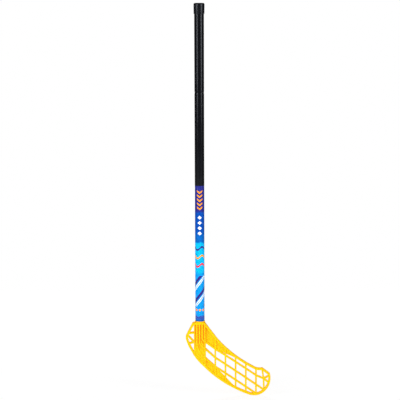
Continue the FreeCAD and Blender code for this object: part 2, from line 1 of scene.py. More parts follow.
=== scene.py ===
"""Looks of a junior floorball stick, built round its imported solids.

Everything is in metres in the frame of the solids: the shaft axis is Z, the toe of the blade points along
+X and the concave face of the blade looks along -Y, towards the camera.
"""
import logging
import math
from dataclasses import dataclass
from enum import Enum
from typing import Any

import bmesh
import bpy
import numpy as np
from bpy.types import ID, Material, Mesh, Node, NodeSocket, NodeTree, Object
from mathutils import Matrix, Vector


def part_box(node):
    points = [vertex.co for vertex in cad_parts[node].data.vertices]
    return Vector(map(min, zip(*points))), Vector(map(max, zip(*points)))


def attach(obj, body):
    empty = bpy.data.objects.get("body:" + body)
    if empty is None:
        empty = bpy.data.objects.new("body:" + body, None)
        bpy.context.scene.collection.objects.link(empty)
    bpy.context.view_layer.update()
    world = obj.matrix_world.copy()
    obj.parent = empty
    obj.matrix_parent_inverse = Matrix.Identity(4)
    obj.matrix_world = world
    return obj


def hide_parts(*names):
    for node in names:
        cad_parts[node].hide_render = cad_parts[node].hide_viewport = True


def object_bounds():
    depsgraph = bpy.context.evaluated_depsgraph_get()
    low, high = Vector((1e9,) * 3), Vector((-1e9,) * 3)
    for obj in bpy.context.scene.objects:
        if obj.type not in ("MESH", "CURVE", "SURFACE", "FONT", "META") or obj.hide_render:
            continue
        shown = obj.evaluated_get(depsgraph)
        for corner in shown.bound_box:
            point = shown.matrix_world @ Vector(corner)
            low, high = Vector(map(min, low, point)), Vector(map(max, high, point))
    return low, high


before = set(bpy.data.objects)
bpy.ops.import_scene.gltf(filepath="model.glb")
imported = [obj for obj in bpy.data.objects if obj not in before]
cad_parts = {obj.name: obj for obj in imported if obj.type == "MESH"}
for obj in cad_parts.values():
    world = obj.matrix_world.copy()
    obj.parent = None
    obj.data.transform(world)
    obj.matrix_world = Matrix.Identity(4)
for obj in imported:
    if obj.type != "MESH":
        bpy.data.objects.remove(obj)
CAD_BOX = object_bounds()

LOG = logging.getLogger("floorball_stick")
MM = 0.001
BODY = "root"
# Points nearer than this become one point
WELD = 0.001 * MM
# Angle in degrees from which an edge of a turned piece stays sharp
CREASE = 40.0
# Colour sockets of a Mix node
MIX_A, MIX_B, MIX_OUT = 6, 7, 2
# A wave texture of scale 1 repeats after this length
WAVE_LENGTH = 2 * math.pi / 20

Point = tuple[float, float]
Span = tuple[float, float]
Profile = list[Point]
Link = Node | NodeSocket


class Slot(Enum):
    """Names of material slots of the record for the new pieces."""

    FILM = "film"
    GRIP = "grip"
    CAP = "cap"
    BLADE = "blade"
    SCREWS = "screws"


class Ink(Enum):
    """Printing inks of the film, as sRGB."""

    INDIGO = "#272B86"
    BLUE = "#004AAC"
    SKY = "#0062BA"
    CYAN = "#00B6F2"
    AZURE = "#0096E8"
    VIOLET = "#33267F"
    IRIS = "#3A4CA6"
    ORANGE = "#FF9E06"
    RED = "#F02B38"
    WHITE = "#F7F8FA"


def linear(code: str) -> tuple[float, float, float, float]:
    """Turn an sRGB hex colour into linear light.

    Args:
        code: Colour such as "#FFD400".

    Returns:
        Linear red, green and blue, and full alpha.
    """
    parts = [int(code[i:i + 2], 16) / 255 for i in (1, 3, 5)]
    light = [c / 12.92 if c <= 0.04045 else ((c + 0.055) / 1.055) ** 2.4 for c in parts]
    return light[0], light[1], light[2], 1.0


def add(tree: NodeTree, kind: str, inputs: dict[str | int, Any] | None = None, **settings: Any) -> Node:
    """Add a node with its settings, values and links.

    Args:
        tree: Tree that gets the node.
        kind: Blender's name of the node type.
        inputs: Value, node or output socket for each input, by name or number.
        settings: Properties of the node itself.

    Returns:
        The new node.
    """
    node = tree.nodes.new(kind)
    for key, value in settings.items():
        setattr(node, key, value)
    for key, value in (inputs or {}).items():
        if isinstance(value, Node):
            value = value.outputs[0]
        if isinstance(value, NodeSocket):
            tree.links.new(value, node.inputs[key])
        else:
            node.inputs[key].default_value = value
    return node


def blank_material(name: str) -> tuple[Material, NodeTree, Link]:
    """Start a node material.

    Args:
        name: Name of the real material.

    Returns:
        The material, its tree and the object coordinates in it.
    """
    material = bpy.data.materials.new(name)
    material.use_nodes = True
    tree = material.node_tree
    tree.nodes.clear()
    return material, tree, add(tree, "ShaderNodeTexCoord").outputs["Object"]


def stand(name: str, data: ID) -> Object:
    """Put a mesh, a lamp or a camera in the scene as an object at the origin.

    Args:
        name: Name of the object.
        data: What the object shows.

    Returns:
        The new object.
    """
    piece = bpy.data.objects.new(name, data)
    bpy.context.scene.collection.objects.link(piece)
    return piece


def settle(piece: Object) -> Object:
    """Turn an object with live modifiers into a plain mesh.

    Args:
        piece: Object whose modifiers are done with.

    Returns:
        The same object, with the evaluated mesh and no modifier.
    """
    graph = bpy.context.evaluated_depsgraph_get()
    mesh = bpy.data.meshes.new_from_object(piece.evaluated_get(graph), depsgraph=graph)
    piece.modifiers.clear()
    rough = piece.data
    piece.data = mesh
    bpy.data.meshes.remove(rough)
    return piece


def shade(piece: Object, angle: float) -> None:
    """Shade a mesh smooth up to a crease.

    Args:
        piece: Object to shade.
        angle: Angle in degrees from which an edge stays sharp.
    """
    piece.data.shade_smooth()
    piece.data.set_sharp_from_angle(angle=math.radians(angle))


def place(piece: Object, node: str) -> None:
    """Let a finished piece ride the stick and stand for its solid.

    Args:
        piece: Finished piece.
        node: Solid that it stands for.
    """
    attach(piece, BODY)
    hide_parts(node)
    piece.data.calc_loop_triangles()
    LOG.info("%s stands for %s with %d triangles", piece.name, node, len(piece.data.loop_triangles))


@dataclass(frozen=True)
class ShrinkSleeve:
    """Black PVC sleeve of the grip, shrunk on hot, with an embossed pebble."""

    body: str = "#07070A"
    worn: str = "#0D0E12"
    sheen: str = "#EEF5FF"
    ior: float = 1.52
    specular: float = 0.285
    roughness: Span = (0.21, 0.29)
    wear_mm: float = 35.0
    pebble_mm: float = 0.9
    pebble_depth_mm: float = 0.05
    pebble_strength: float = 0.7

    def material(self) -> Material:
        """Build the sleeve's material.

        Returns:
            The material.
        """
        # Satin: long streaks of light, broken up by the pebble, and cloudy where hands have worn it
        material, tree, point = blank_material("pvc_shrink_sleeve_black")
        cloud = add(tree, "ShaderNodeTexNoise",
                    {"Vector": point, "Scale": 1 / (self.wear_mm * MM), "Detail": 3.0})
        tone = add(tree, "ShaderNodeMix",
                   {0: cloud, MIX_A: linear(self.body), MIX_B: linear(self.worn)}, data_type="RGBA")
        gloss = add(tree, "ShaderNodeMapRange",
                    {"Value": cloud, "To Min": self.roughness[0], "To Max": self.roughness[1]})
        # The real pebble is about 0.3 mm, which is too fine to show, so it is drawn three times as coarse
        pebble = add(tree, "ShaderNodeTexVoronoi", {"Vector": point, "Scale": 1 / (self.pebble_mm * MM)},
                     feature="SMOOTH_F1")
        bump = add(tree, "ShaderNodeBump", {"Height": pebble, "Strength": self.pebble_strength,
                                            "Distance": self.pebble_depth_mm * MM})
        surface = add(tree, "ShaderNodeBsdfPrincipled", {
            "Base Color": tone.outputs[MIX_OUT], "Roughness": gloss, "Normal": bump, "IOR": self.ior,
            "Specular IOR Level": self.specular, "Specular Tint": linear(self.sheen)})
        add(tree, "ShaderNodeOutputMaterial", {"Surface": surface})
        return material


@dataclass(frozen=True)
class MouldedRubber:
    """Black rubber of the end cap, moulded in a spark-eroded tool."""

    body: str = "#08090C"
    bloom: str = "#101116"
    sheen: str = "#EEF5FF"
    ior: float = 1.52
    specular: float = 0.385
    roughness: float = 0.32
    bloom_mm: float = 9.0
    grain_mm: float = 1.1
    grain_depth_mm: float = 0.08

    def material(self) -> Material:
        """Build the cap's material.

        Returns:
            The material.
        """
        # Duller than the sleeve, with a dusty bloom and a fine even grain
        material, tree, point = blank_material("moulded_rubber_black")
        cloud = add(tree, "ShaderNodeTexNoise",
                    {"Vector": point, "Scale": 1 / (self.bloom_mm * MM), "Detail": 5.0})
        tone = add(tree, "ShaderNodeMix",
                   {0: cloud, MIX_A: linear(self.body), MIX_B: linear(self.bloom)}, data_type="RGBA")
        # The grain of the tool is about 0.2 mm, drawn coarser so that it shows
        grain = add(tree, "ShaderNodeTexNoise",
                    {"Vector": point, "Scale": 1 / (self.grain_mm * MM), "Detail": 2.0})
        bump = add(tree, "ShaderNodeBump",
                   {"Height": grain, "Strength": 1.0, "Distance": self.grain_depth_mm * MM})
        surface = add(tree, "ShaderNodeBsdfPrincipled", {
            "Base Color": tone.outputs[MIX_OUT], "Roughness": self.roughness, "Normal": bump,
            "IOR": self.ior, "Specular IOR Level": self.specular, "Specular Tint": linear(self.sheen)})
        add(tree, "ShaderNodeOutputMaterial", {"Surface": surface})
        return material


@dataclass(frozen=True)
class MouldedPolypropylene:
    """Yellow polypropylene of the blade, injected at the hosel."""

    body: str = "#FFC000"
    flow: str = "#FFC500"
    # Orange of the painted shade in hollows and corners
    hollow_shade: str = "#FF6C00"
    ior: float = 1.49
    specular: float = 0.17
    roughness: Span = (0.35, 0.46)
    flow_mm: float = 55.0
    flow_angle: float = 34.0
    flow_stretch: tuple[float, float, float] = (1.0, 2.0, 3.0)
    grain_mm: float = 1.2
    grain_depth_mm: float = 0.05
    grain_strength: float = 0.6
    translucency: float = 0.05
    light_path_mm: float = 2.5
    light_reach: tuple[float, float, float] = (1.0, 0.35, 0.05)

    def material(self) -> Material:
        """Build the blade's material.

        Returns:
            The material.
        """
        # Semi-gloss with faint flow marks and slightly translucent, with painted orange shade in hollows
        # and corners
        material, tree, point = blank_material("moulded_polypropylene_yellow")
        # Flow marks run along the blade from the gate at the hosel
        lie = add(tree, "ShaderNodeMapping",
                  {"Vector": point, "Rotation": (0.0, math.radians(self.flow_angle), 0.0),
                   "Scale": self.flow_stretch})
        streak = add(tree, "ShaderNodeTexNoise", {"Vector": lie, "Scale": 1 / (self.flow_mm * MM),
                                                  "Detail": 4.0, "Distortion": 0.6})
        tone = add(tree, "ShaderNodeMix",
                   {0: streak, MIX_A: linear(self.body), MIX_B: linear(self.flow)}, data_type="RGBA")
        # Painted shade: hollows, corners and the hosel's flutes turn orange by the share stored at each
        # point
        painted_shade = add(tree, "ShaderNodeAttribute", attribute_name="painted_shade").outputs["Fac"]
        wall = add(tree, "ShaderNodeMix",
                   {0: painted_shade, MIX_A: tone.outputs[MIX_OUT], MIX_B: linear(self.hollow_shade)}, data_type="RGBA")
        gloss = add(tree, "ShaderNodeMapRange",
                    {"Value": streak, "To Min": self.roughness[0], "To Max": self.roughness[1]})
        # Tool marks of about 0.3 mm, drawn four times as coarse so that they show
        grain = add(tree, "ShaderNodeTexNoise",
                    {"Vector": point, "Scale": 1 / (self.grain_mm * MM), "Detail": 2.0})
        bump = add(tree, "ShaderNodeBump", {"Height": grain, "Strength": self.grain_strength,
                                            "Distance": self.grain_depth_mm * MM})
        surface = add(tree, "ShaderNodeBsdfPrincipled", {
            "Base Color": wall.outputs[MIX_OUT], "Roughness": gloss, "Normal": bump, "IOR": self.ior,
            "Specular IOR Level": self.specular, "Subsurface Weight": self.translucency,
            "Subsurface Radius": self.light_reach, "Subsurface Scale": self.light_path_mm * MM})
        add(tree, "ShaderNodeOutputMaterial", {"Surface": surface})
        return material


@dataclass(frozen=True)
class ZincPlate:
    """Bright zinc plate on the steel of the screws."""

    bright: str = "#D3D5D9"
    cloudy: str = "#B4B9C2"
    roughness: Span = (0.24, 0.38)
    cloud_mm: float = 1.5

    def material(self) -> Material:
        """Build the screws' material.

        Returns:
            The material.
        """
        # Soft metal gloss, faintly cloudy from the bath
        material, tree, point = blank_material("zinc_plated_steel")
        cloud = add(tree, "ShaderNodeTexNoise",
                    {"Vector": point, "Scale": 1 / (self.cloud_mm * MM), "Detail": 4.0})
        tone = add(tree, "ShaderNodeMix",
                   {0: cloud, MIX_A: linear(self.bright), MIX_B: linear(self.cloudy)}, data_type="RGBA")
        gloss = add(tree, "ShaderNodeMapRange",
                    {"Value": cloud, "To Min": self.roughness[0], "To Max": self.roughness[1]})
        surface = add(tree, "ShaderNodeBsdfPrincipled",
                      {"Base Color": tone.outputs[MIX_OUT], "Roughness": gloss, "Metallic": 1.0})
        add(tree, "ShaderNodeOutputMaterial", {"Surface": surface})
        return material


@dataclass(frozen=True)
class GlassFibreLaminate:
    """Black glass-fibre laminate of the bare tube, wound in two directions under resin."""

    body: str = "#0C0C0E"
    tow: str = "#1B1B1F"
    roughness: float = 0.35
    band_mm: float = 15.7
    wind_angles: Span = (45.0, -45.0)

    def material(self) -> Material:
        """Build the tube's material.

        Returns:
            The material.
        """
        # Satin black with crossing bands of slightly paler tows
        material, tree, point = blank_material("glass_fibre_laminate_black")
        ways = []
        for angle in self.wind_angles:
            lie = add(tree, "ShaderNodeMapping",
                      {"Vector": point, "Rotation": (0.0, math.radians(angle), 0.0)})
            wave = add(tree, "ShaderNodeTexWave",
                       {"Vector": lie, "Scale": WAVE_LENGTH / (self.band_mm * MM)})
            ways.append(wave.outputs["Fac"])
        cross = add(tree, "ShaderNodeMath", {0: ways[0], 1: ways[1]}, operation="MAXIMUM")
        tone = add(tree, "ShaderNodeMix",
                   {0: cross, MIX_A: linear(self.body), MIX_B: linear(self.tow)}, data_type="RGBA")
        surface = add(tree, "ShaderNodeBsdfPrincipled",
                      {"Base Color": tone.outputs[MIX_OUT], "Roughness": self.roughness})
        add(tree, "ShaderNodeOutputMaterial", {"Surface": surface})
        return material


@dataclass(frozen=True)
class FilmSpot:
    """Where a point of the film lies, in the tree of its material.

    Its point is in object coordinates and its angle counts from the front. The rest is in millimetres:
    across from the front or the back line, round the film, and down from its top.
    """

    tree: NodeTree
    point: Link
    angle: Link
    across: Link
    down: Link

    def mask(self, limits: list[tuple[Link, float, float]]) -> Link:
        """Mask where every one of some values lies between its limits.

        Args:
            limits: Node or socket of each value, with its lower and its upper limit.

        Returns:
            Node that gives 1 inside and 0 outside.
        """
        joined = None
        for value, low, high in limits:
            inside = add(self.tree, "ShaderNodeMath", {0: value, 1: (low + high) / 2, 2: (high - low) / 2},
                         operation="COMPARE")
            if joined is not None:
                inside = add(self.tree, "ShaderNodeMath", {0: joined, 1: inside}, operation="MULTIPLY")
            joined = inside
        return joined


@dataclass(frozen=True)
class PrintedFilm:
    """Polyester film of the lower shaft, printed on its inner side and shrunk on.

    Sizes of the print are in millimetres. Heights in it count downwards from the top of the film, apart
    from the bands of the ground, which lie at shares of its length.
    """

    top: float
    length: float
    radius: float
    ior: float = 1.5
    specular: float = 0.108
    roughness: float = 0.38
    coat: float = 0.046
    coat_roughness: float = 0.15
    ripple_mm: float = 6.0
    ripple_depth_mm: float = 0.1
    ripple_strength: float = 0.1
    bands: tuple[tuple[float, Ink], ...] = (
        (0.0, Ink.INDIGO), (0.185, Ink.INDIGO), (0.20, Ink.BLUE), (0.33, Ink.BLUE),
        (0.37, Ink.SKY), (0.412, Ink.SKY), (0.424, Ink.CYAN), (0.63, Ink.CYAN),
        (0.65, Ink.AZURE), (0.954, Ink.AZURE), (0.963, Ink.IRIS), (1.0, Ink.IRIS))
    rag_mm: float = 8.0
    rag_reach: float = 5.0
    mottle_mm: float = 5.0
    mottle_span: Span = (0.25, 0.75)
    mottle_value: Span = (0.82, 1.15)
    foot_rows: Span = (322.0, 332.0)
    foot_swing: float = 22.0
    chevron_rows: Span = (14.0, 57.5)
    chevron_pitch: float = 9.5
    chevron_part: Span = (0.55, 0.97)
    chevron_slope: float = 0.75
    chevron_reach: float = 6.4
    diamond_rows: Span = (69.0, 118.0)
    diamond_half_pitch: float = 6.2
    diamond_slope: float = 1.15
    diamond_reach: float = 5.2
    waves: tuple[tuple[Ink, float], ...] = ((Ink.VIOLET, 147.0), (Ink.ORANGE, 167.0), (Ink.RED, 187.0))
    wave_count: float = 3.0
    wave_swing: float = 3.6
    wave_half_width: float = 2.2
    stripes: tuple[tuple[Ink, float, float], ...] = (
        (Ink.VIOLET, 0.02, 0.24), (Ink.WHITE, 0.33, 0.41), (Ink.WHITE, 0.47, 0.53))
    stripe_rows: Span = (212.0, 284.0)
    stripe_pitch: float = 42.0
    stripe_starts: int = 2
    dot_row: float = 293.0
    dot_half_pitch: float = 4.22
    dot_radius: float = 2.7

    def material(self) -> Material:
        """Build the film's material.

        Returns:
            The material.
        """
        # Even, glossy colour under a clear skin
        material, tree, point = blank_material("reverse_printed_polyester_film")
        axes = add(tree, "ShaderNodeSeparateXYZ", {0: point}).outputs
        front = add(tree, "ShaderNodeMath", {0: axes["Y"], 1: -1.0}, operation="MULTIPLY")
        angle = add(tree, "ShaderNodeMath", {0: axes["X"], 1: front}, operation="ARCTAN2")
        down = add(tree, "ShaderNodeMath", {0: axes["Z"], 1: -1 / MM, 2: self.top / MM},
                   operation="MULTIPLY_ADD")
        quarter = self.radius / MM * math.pi / 2
        girth = add(tree, "ShaderNodeMath", {0: angle, 1: self.radius / MM}, operation="MULTIPLY")
        across = add(tree, "ShaderNodeMath", {0: girth, 1: quarter}, operation="PINGPONG")

        spot = FilmSpot(tree, point, angle, across, down)
        layers = [(Ink.ORANGE, self.chevrons(spot)), (Ink.WHITE, self.diamonds(spot))]
        layers += [(ink, self.wave(spot, row)) for ink, row in self.waves]
        layers += [(ink, self.stripe(spot, low, high)) for ink, low, high in self.stripes]
        layers.append((Ink.ORANGE, self.dots(spot)))
        colour = self.ground(spot)
        for ink, mask in layers:
            mix = add(tree, "ShaderNodeMix", {0: mask, MIX_A: colour, MIX_B: linear(ink.value)},
                      data_type="RGBA")
            colour = mix.outputs[MIX_OUT]
        # The shrunk film waves by a few hundredths over some millimetres
        ripple = add(tree, "ShaderNodeTexNoise",
                     {"Vector": point, "Scale": 1 / (self.ripple_mm * MM), "Detail": 1.0})
        bump = add(tree, "ShaderNodeBump", {"Height": ripple, "Strength": self.ripple_strength,
                                            "Distance": self.ripple_depth_mm * MM})
        surface = add(tree, "ShaderNodeBsdfPrincipled", {
            "Base Color": colour, "Roughness": self.roughness, "Normal": bump, "IOR": self.ior,
            "Specular IOR Level": self.specular, "Coat Weight": self.coat,
            "Coat Roughness": self.coat_roughness})
        add(tree, "ShaderNodeOutputMaterial", {"Surface": surface})
        return material

    def ground(self, spot: FilmSpot) -> Link:
        """Bands of blue down the film, with ragged edges and a mottled print.

        Args:
            spot: Where a point of the film lies.

        Returns:
            Colour socket.
        """
        tree = spot.tree
        rag = add(tree, "ShaderNodeTexNoise",
                  {"Vector": spot.point, "Scale": 1 / (self.rag_mm * MM), "Detail": 3.0})
        shift = add(tree, "ShaderNodeMapRange",
                    {"Value": rag, "To Min": -self.rag_reach, "To Max": self.rag_reach})
        ragged = add(tree, "ShaderNodeMath", {0: spot.down, 1: shift}, operation="ADD")
        share = add(tree, "ShaderNodeMath", {0: ragged, 1: self.length / MM}, operation="DIVIDE")
        ramp = add(tree, "ShaderNodeValToRGB", {0: share})
        elements = ramp.color_ramp.elements
        while len(elements) < len(self.bands):
            elements.new(0.5)
        for element, (where, ink) in zip(elements, self.bands):
            element.position = where
            element.color = linear(ink.value)
        mottle = add(tree, "ShaderNodeTexNoise",
                     {"Vector": spot.point, "Scale": 1 / (self.mottle_mm * MM), "Detail": 4.0})
        # The foot of the film turns from iris to sky, unevenly
        settled = add(tree, "ShaderNodeMath", {0: mottle, 1: self.foot_swing, 2: spot.down},
                      operation="MULTIPLY_ADD")
        turned = add(tree, "ShaderNodeMapRange",
                     {"Value": settled, "From Min": self.foot_rows[0], "From Max": self.foot_rows[1]})
        footed = add(tree, "ShaderNodeMix", {0: turned, MIX_A: ramp, MIX_B: linear(Ink.SKY.value)},
                     data_type="RGBA")
        value = add(tree, "ShaderNodeMapRange", {
            "Value": mottle, "From Min": self.mottle_span[0], "From Max": self.mottle_span[1],
            "To Min": self.mottle_value[0], "To Max": self.mottle_value[1]})
        hsv = add(tree, "ShaderNodeHueSaturation", {"Value": value, "Color": footed.outputs[MIX_OUT]})
        return hsv.outputs[0]

    def chevrons(self, spot: FilmSpot) -> Link:
        """Column of chevrons on the front and back of the uppermost band, as a mask.

        Args:
            spot: Where a point of the film lies.

        Returns:
            Mask node.
        """
        drop = add(spot.tree, "ShaderNodeMath", {0: spot.across, 1: self.chevron_slope, 2: spot.down},
                   operation="MULTIPLY_ADD")
        phase = add(spot.tree, "ShaderNodeMath", {0: drop, 1: 1 / self.chevron_pitch}, operation="MULTIPLY")
        part = add(spot.tree, "ShaderNodeMath", {0: phase}, operation="FRACT")
        return spot.mask([(part, *self.chevron_part), (drop, *self.chevron_rows),
                          (spot.across, -self.chevron_reach, self.chevron_reach)])

    def diamonds(self, spot: FilmSpot) -> Link:
        """Column of diamonds on the front and back of the second band, as a mask.

        Args:
            spot: Where a point of the film lies.

        Returns:
            Mask node.
        """
        cell = add(spot.tree, "ShaderNodeMath", {0: spot.down, 1: self.diamond_half_pitch},
                   operation="PINGPONG")
        size = add(spot.tree, "ShaderNodeMath", {0: cell, 1: self.diamond_slope, 2: spot.across},
                   operation="MULTIPLY_ADD")
        return spot.mask([(size, -self.diamond_reach, self.diamond_reach), (spot.down, *self.diamond_rows)])

    def wave(self, spot: FilmSpot, row: float) -> Link:
        """Wavy ring round the film, as a mask.

        Args:
            spot: Where a point of the film lies.
            row: Millimetres from the top of the film to the middle of the ring.

        Returns:
            Mask node.
        """
        phase = add(spot.tree, "ShaderNodeMath", {0: spot.angle, 1: self.wave_count}, operation="MULTIPLY")
        swing = add(spot.tree, "ShaderNodeMath", {0: phase}, operation="SINE")
        level = add(spot.tree, "ShaderNodeMath", {0: swing, 1: self.wave_swing, 2: spot.down},
                    operation="MULTIPLY_ADD")
        return spot.mask([(level, row - self.wave_half_width, row + self.wave_half_width)])

    def stripe(self, spot: FilmSpot, low: float, high: float) -> Link:
        """Slanted stripe that winds round the fourth band, as a mask.

        Args:
            spot: Where a point of the film lies.
            low: Share of the stripes' pitch where it starts.
            high: Share of the pitch where it ends.

        Returns:
            Mask node.
        """
        wind = add(spot.tree, "ShaderNodeMath", {0: spot.angle, 1: self.stripe_starts / (2 * math.pi)},
                   operation="MULTIPLY")
        phase = add(spot.tree, "ShaderNodeMath", {0: spot.down, 1: 1 / self.stripe_pitch, 2: wind},
                    operation="MULTIPLY_ADD")
        part = add(spot.tree, "ShaderNodeMath", {0: phase}, operation="FRACT")
        return spot.mask([(part, low, high), (spot.down, *self.stripe_rows)])

    def dots(self, spot: FilmSpot) -> Link:
        """Ring of dots below the stripes, as a mask.

        Args:
            spot: Where a point of the film lies.

        Returns:
            Mask node.
        """
        side = add(spot.tree, "ShaderNodeMath", {0: spot.across, 1: self.dot_half_pitch},
                   operation="PINGPONG")
        level = add(spot.tree, "ShaderNodeMath", {0: spot.down, 1: self.dot_row}, operation="SUBTRACT")
        reach = add(spot.tree, "ShaderNodeCombineXYZ", {0: side, 1: level})
        span = add(spot.tree, "ShaderNodeVectorMath", {0: reach}, operation="LENGTH").outputs["Value"]
        return spot.mask([(span, -self.dot_radius, self.dot_radius)])


def turning_tree() -> NodeTree:
    """Build the tree that turns a profile round the shaft axis.

    The profile is a line of edges whose X is the distance outside the path and whose Y is the height,
    downwards.

    Returns:
        Geometry node tree with named inputs for its sizes.
    """
    tree = bpy.data.node_groups.new("turned_shell", "GeometryNodeTree")
    sockets = {"Profile": "Geometry", "Path Radius": "Float", "Segments": "Int", "Material": "Material"}
    for name, kind in sockets.items():
        tree.interface.new_socket(name, in_out="INPUT", socket_type="NodeSocket" + kind)
    tree.interface.new_socket("Shell", in_out="OUTPUT", socket_type="NodeSocketGeometry")
    given = add(tree, "NodeGroupInput").outputs
    line = add(tree, "GeometryNodeMeshToCurve", {"Mesh": given["Profile"]})
    path = add(tree, "GeometryNodeCurvePrimitiveCircle",
               {"Resolution": given["Segments"], "Radius": given["Path Radius"]})
    swept = add(tree, "GeometryNodeCurveToMesh", {"Curve": path, "Profile Curve": line})
    closed = add(tree, "GeometryNodeMergeByDistance", {"Geometry": swept, "Distance": WELD})
    real = add(tree, "GeometryNodeRealizeInstances", {"Geometry": closed})
    dressed = add(tree, "GeometryNodeSetMaterial", {"Geometry": real, "Material": given["Material"]})
    add(tree, "NodeGroupOutput", {"Shell": dressed})
    return tree


def row_tree() -> NodeTree:
    """Build the tree that sets copies of one piece in a straight row.

    Returns:
        Geometry node tree with named inputs for its sizes.
    """
    tree = bpy.data.node_groups.new("straight_row", "GeometryNodeTree")
    sockets = {"Piece": "Geometry", "Count": "Int", "First": "Vector", "Pitch": "Vector",
               "Material": "Material"}
    for name, kind in sockets.items():
        tree.interface.new_socket(name, in_out="INPUT", socket_type="NodeSocket" + kind)
    tree.interface.new_socket("Row", in_out="OUTPUT", socket_type="NodeSocketGeometry")
    given = add(tree, "NodeGroupInput").outputs
    seats = add(tree, "GeometryNodeMeshLine", {"Count": given["Count"], "Start Location": given["First"],
                                               "Offset": given["Pitch"]}, mode="OFFSET")
    copies = add(tree, "GeometryNodeInstanceOnPoints", {"Points": seats, "Instance": given["Piece"]})
    real = add(tree, "GeometryNodeRealizeInstances", {"Geometry": copies})
    dressed = add(tree, "GeometryNodeSetMaterial", {"Geometry": real, "Material": given["Material"]})
    add(tree, "NodeGroupOutput", {"Row": dressed})
    return tree


def grow(piece: Object, tree: NodeTree, values: dict[str, Any]) -> Object:
    """Run a geometry node tree on an object and keep the result as a plain mesh.

    Args:
        piece: Object whose mesh goes into the tree.
        tree: Geometry node tree.
        values: Value of each named input.

    Returns:
        The same object with the new mesh.
    """
    modifier = piece.modifiers.new(tree.name, "NODES")
    modifier.node_group = tree
    for item in tree.interface.items_tree:
        if item.name in values:
            modifier[item.identifier] = values[item.name]
    return settle(piece)


def turn(name: str, profile: Profile, closed: bool, tree: NodeTree,
         material: Material, segments: int = 96) -> Object:
    """Turn a profile round the shaft axis.

    Args:
        name: Name of the piece.
        profile: Radius and height of each corner, in metres.
        closed: Whether the last corner joins the first.
        tree: Tree of turning_tree.
        material: Finish of the piece.
        segments: Faces round the axis.

    Returns:
        The turned piece.
    """
    path = max(radius for radius, _ in profile)
    corners = [(radius - path, -height, 0.0) for radius, height in profile]
    edges = [(i, i + 1) for i in range(len(corners) - 1)]
    if closed:
        edges.append((len(corners) - 1, 0))
    mesh = bpy.data.meshes.new(name)
    mesh.from_pydata(corners, edges, [])
    piece = grow(stand(name, mesh), tree,
                 {"Path Radius": path, "Segments": segments, "Material": material})
    # The sweep leaves some faces looking inwards
    work = bmesh.new()
    work.from_mesh(piece.data)
    bmesh.ops.recalc_face_normals(work, faces=work.faces)
    work.to_mesh(piece.data)
    work.free()
    shade(piece, CREASE)
    return piece


def rounded(corner: Point, before: Point, after: Point, radius: float, steps: int) -> Profile:
    """Round a corner of a profile.

    Args:
        corner: The sharp corner.
        before: Corner that the line comes from.
        after: Corner that the line goes to.
        radius: How far from the corner the round starts on each side.
        steps: Pieces of the round.

    Returns:
        Points of the round, in order.
    """
    here = Vector(corner)
    start = here + (Vector(before) - here).normalized() * radius
    end = here + (Vector(after) - here).normalized() * radius
    points = []
    for i in range(steps + 1):
        t = i / steps
        point = start.lerp(here, t).lerp(here.lerp(end, t), t)
        points.append((point.x, point.y))
    return points


@dataclass
class Shaft:
    """Tapered tube with the sleeves that are pulled over it."""

    bottom_radius: float = 10.325 * MM
    clearance: float = 0.05 * MM
    grip_wall: float = 0.5 * MM
    film_wall: float = 0.35 * MM
    seam_height: float = 4.0 * MM
    seam_depth: float = 0.46 * MM
    seam_steps: int = 10
    lip: float = 0.25 * MM
    lip_steps: int = 3

    def radius(self, height: float) -> float:
        """Outer radius of the bare tube.

        Args:
            height: Height on the shaft axis.

        Returns:
            Radius there.
        """
        low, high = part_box("shaft_tube")
        share = (height - low.z) / (high.z - low.z)
        return self.bottom_radius + (high.x - self.bottom_radius) * share

    def sleeve(self, node: str, wall: float, seam_at_top: bool, seam_at_bottom: bool) -> Profile:
        """Profile of a sleeve on the tube.

        Args:
            node: Solid that the sleeve stands for.
            wall: Wall of the sleeve.
            seam_at_top: Whether the upper end is drawn in at the seam.
            seam_at_bottom: Whether the lower end is.

        Returns:
            Closed profile, from the inner lower corner upwards and back outside.
        """
        low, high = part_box(node)
        inside = [self.radius(height) + self.clearance for height in (low.z, high.z)]
        outside = [radius + wall for radius in inside]
        inner = [(inside[0], low.z), (inside[1], high.z)]
        top = self.end(inner[1], (outside[1], high.z), (outside[0], low.z), seam_at_top)
        bottom = self.end(inner[0], (outside[0], low.z), (outside[1], high.z), seam_at_bottom)
        return inner + top + bottom[::-1]

    def end(self, inner: Point, corner: Point, far: Point, seam: bool) -> Profile:
        """Outer corner at one end of a sleeve, drawn in at the seam and just broken elsewhere.

        Args:
            inner: Inner corner of that end.
            corner: Its sharp outer corner.
            far: Outer corner of the other end.
            seam: Whether the end lies at the seam.

        Returns:
            Points of the corner, from the end face to the outside.
        """
        if not seam:
            return rounded(corner, inner, far, self.lip, self.lip_steps)
        way = math.copysign(1.0, far[1] - corner[1])
        points = []
        for i in range(self.seam_steps + 1):
            share = i / self.seam_steps
            waist = self.seam_depth * (1 + math.cos(math.pi * share)) / 2
            points.append((corner[0] - waist, corner[1] + way * self.seam_height * share))
        return points

    def build(self, tree: NodeTree) -> None:
        """Make and dress the grip sleeves, the film and the tube.

        Args:
            tree: Tree of turning_tree.
        """
        grip = ShrinkSleeve().material()
        for name, node, upper in (("upper_grip", "grip_sleeve_upper", True),
                                  ("lower_grip", "grip_sleeve_lower", False)):
            profile = self.sleeve(node, self.grip_wall, not upper, upper)
            place(turn(name, profile, True, tree, grip), node)
        low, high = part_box("print_film")
        film = PrintedFilm(top=high.z, length=high.z - low.z, radius=high.x).material()
        profile = self.sleeve("print_film", self.film_wall, False, False)
        place(turn("printed_wrap", profile, True, tree, film), "print_film")
        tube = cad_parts["shaft_tube"]
        tube.data.materials.clear()
        tube.data.materials.append(GlassFibreLaminate().material())
        LOG.info("shaft_tube keeps its solid")


